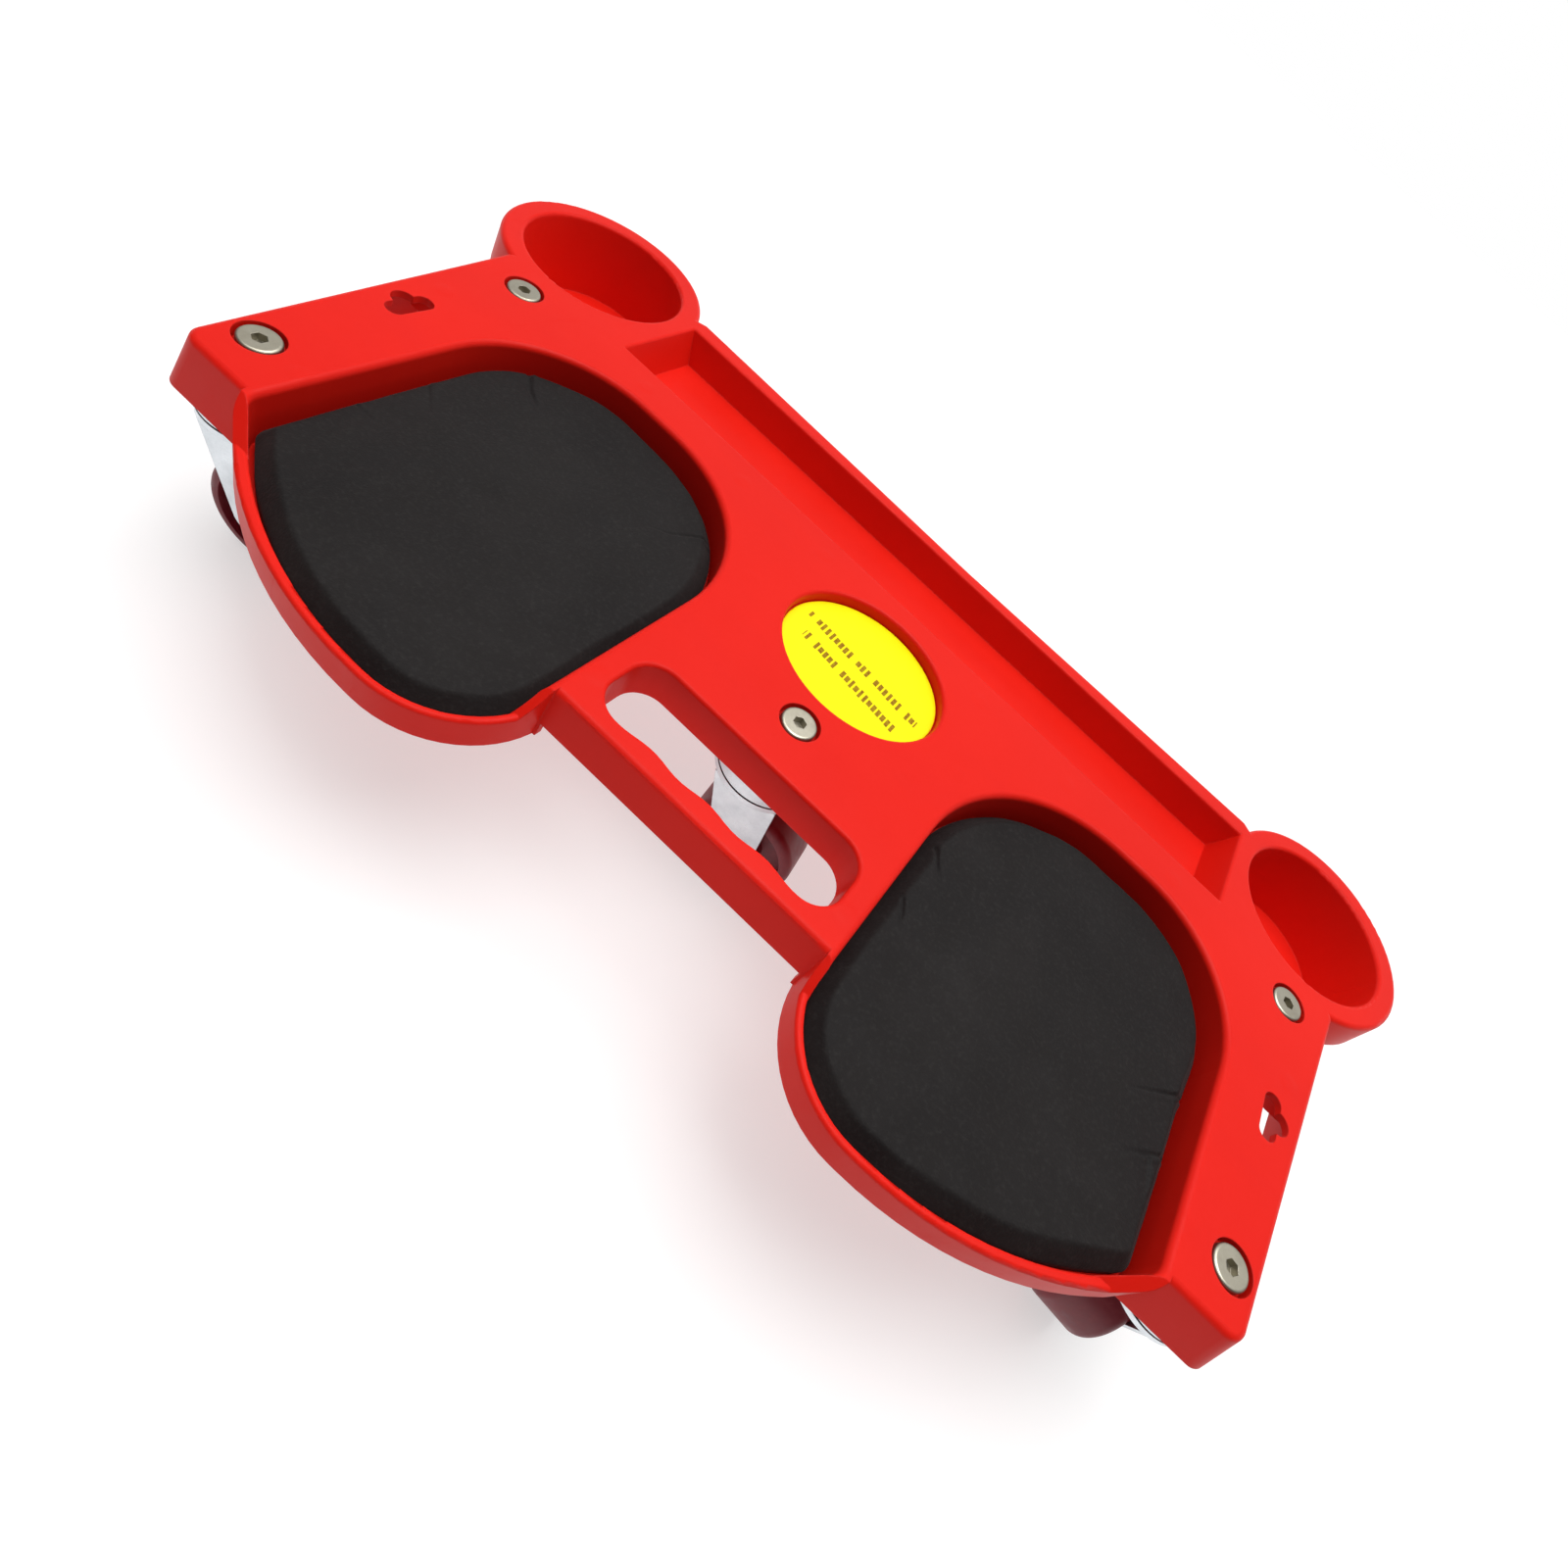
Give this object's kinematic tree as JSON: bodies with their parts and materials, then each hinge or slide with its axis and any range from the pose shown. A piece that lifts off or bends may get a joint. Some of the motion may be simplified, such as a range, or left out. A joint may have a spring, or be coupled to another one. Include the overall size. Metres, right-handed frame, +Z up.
{
  "type": "mechanics creeper",
  "caption": "Rolling kneeling creeper: a moulded red deck with two foam knee pads, cup wells, a tool tray and a finger-grip handle on small swivel casters.",
  "frame": {"origin": "centre of the footprint at floor level, under the wheels", "axes": "+X to the right along the long side seen from the handle, +Y from the handle towards the tool tray, +Z up"},
  "size_m": [0.5708, 0.3025, 0.095],
  "materials": {
    "deck_plastic": "moulded red polypropylene, satin with soft sheen",
    "pad_foam": "matt closed-cell foam, charcoal",
    "label_yellow": "printed yellow plate, semi-matt",
    "nickel": "nickel plated",
    "zinc": "bright zinc plated pressed steel",
    "steel": "plain turned steel",
    "wheel_plastic": "dark red moulded plastic, satin"
  },
  "bodies": {
    "board": {"deck": "deck_plastic", "knee_pad_left": "pad_foam", "knee_pad_right": "pad_foam", "label_plate": "label_yellow", "cap_nut_front_left": "nickel", "top_plate_front_left": "zinc", "stem_front_left": "steel", "swivel_balls_front_left": "steel", "cap_nut_front_right": "nickel", "top_plate_front_right": "zinc", "stem_front_right": "steel", "swivel_balls_front_right": "steel", "cap_nut_rear_left": "nickel", "top_plate_rear_left": "zinc", "stem_rear_left": "steel", "swivel_balls_rear_left": "steel", "cap_nut_rear_right": "nickel", "top_plate_rear_right": "zinc", "stem_rear_right": "steel", "swivel_balls_rear_right": "steel", "cap_nut_middle": "nickel", "top_plate_middle": "zinc", "stem_middle": "steel", "swivel_balls_middle": "steel"},
    "fork_assembly_front_left": {"fork_front_left": "zinc", "axle_front_left": "steel", "axle_nut_front_left": "steel", "sleeve_front_left": "steel"},
    "wheel_assembly_front_left": {"wheel_front_left": "wheel_plastic"},
    "fork_assembly_front_right": {"fork_front_right": "zinc", "axle_front_right": "steel", "axle_nut_front_right": "steel", "sleeve_front_right": "steel"},
    "wheel_assembly_front_right": {"wheel_front_right": "wheel_plastic"},
    "fork_assembly_rear_left": {"fork_rear_left": "zinc", "axle_rear_left": "steel", "axle_nut_rear_left": "steel", "sleeve_rear_left": "steel"},
    "wheel_assembly_rear_left": {"wheel_rear_left": "wheel_plastic"},
    "fork_assembly_rear_right": {"fork_rear_right": "zinc", "axle_rear_right": "steel", "axle_nut_rear_right": "steel", "sleeve_rear_right": "steel"},
    "wheel_assembly_rear_right": {"wheel_rear_right": "wheel_plastic"},
    "fork_assembly_middle": {"fork_middle": "zinc", "axle_middle": "steel", "axle_nut_middle": "steel", "sleeve_middle": "steel"},
    "wheel_assembly_middle": {"wheel_middle": "wheel_plastic"}
  },
  "joints": [
    {"name": "swivel_front_left", "type": "hinge", "parent": "board", "child": "fork_assembly_front_left", "pos_m": [-0.227, -0.08925, 0.0645], "axis": [0, 0, 1], "continuous": true},
    {"name": "spin_front_left", "type": "hinge", "parent": "fork_assembly_front_left", "child": "wheel_assembly_front_left", "pos_m": [-0.21546, -0.08594, 0.025], "axis": [-0.2756, 0.9613, 0], "continuous": true},
    {"name": "swivel_front_right", "type": "hinge", "parent": "board", "child": "fork_assembly_front_right", "pos_m": [0.227, -0.08925, 0.0645], "axis": [0, 0, 1], "continuous": true},
    {"name": "spin_front_right", "type": "hinge", "parent": "fork_assembly_front_right", "child": "wheel_assembly_front_right", "pos_m": [0.22825, -0.07732, 0.025], "axis": [-0.9945, 0.1045, 0], "continuous": true},
    {"name": "swivel_rear_left", "type": "hinge", "parent": "board", "child": "fork_assembly_rear_left", "pos_m": [-0.228, 0.03845, 0.0645], "axis": [0, 0, 1], "continuous": true},
    {"name": "spin_rear_left", "type": "hinge", "parent": "fork_assembly_rear_left", "child": "wheel_assembly_rear_left", "pos_m": [-0.23888, 0.03338, 0.025], "axis": [0.4226, -0.9063, 0], "continuous": true},
    {"name": "swivel_rear_right", "type": "hinge", "parent": "board", "child": "fork_assembly_rear_right", "pos_m": [0.228, 0.03845, 0.0645], "axis": [0, 0, 1], "continuous": true},
    {"name": "spin_rear_right", "type": "hinge", "parent": "fork_assembly_rear_right", "child": "wheel_assembly_rear_right", "pos_m": [0.2239, 0.02717, 0.025], "axis": [0.9397, -0.342, 0], "continuous": true},
    {"name": "swivel_middle", "type": "hinge", "parent": "board", "child": "fork_assembly_middle", "pos_m": [0, -0.04275, 0.0645], "axis": [0, 0, 1], "continuous": true},
    {"name": "spin_middle", "type": "hinge", "parent": "fork_assembly_middle", "child": "wheel_assembly_middle", "pos_m": [0.01188, -0.04108, 0.025], "axis": [-0.1392, 0.9903, 0], "continuous": true}
  ]
}
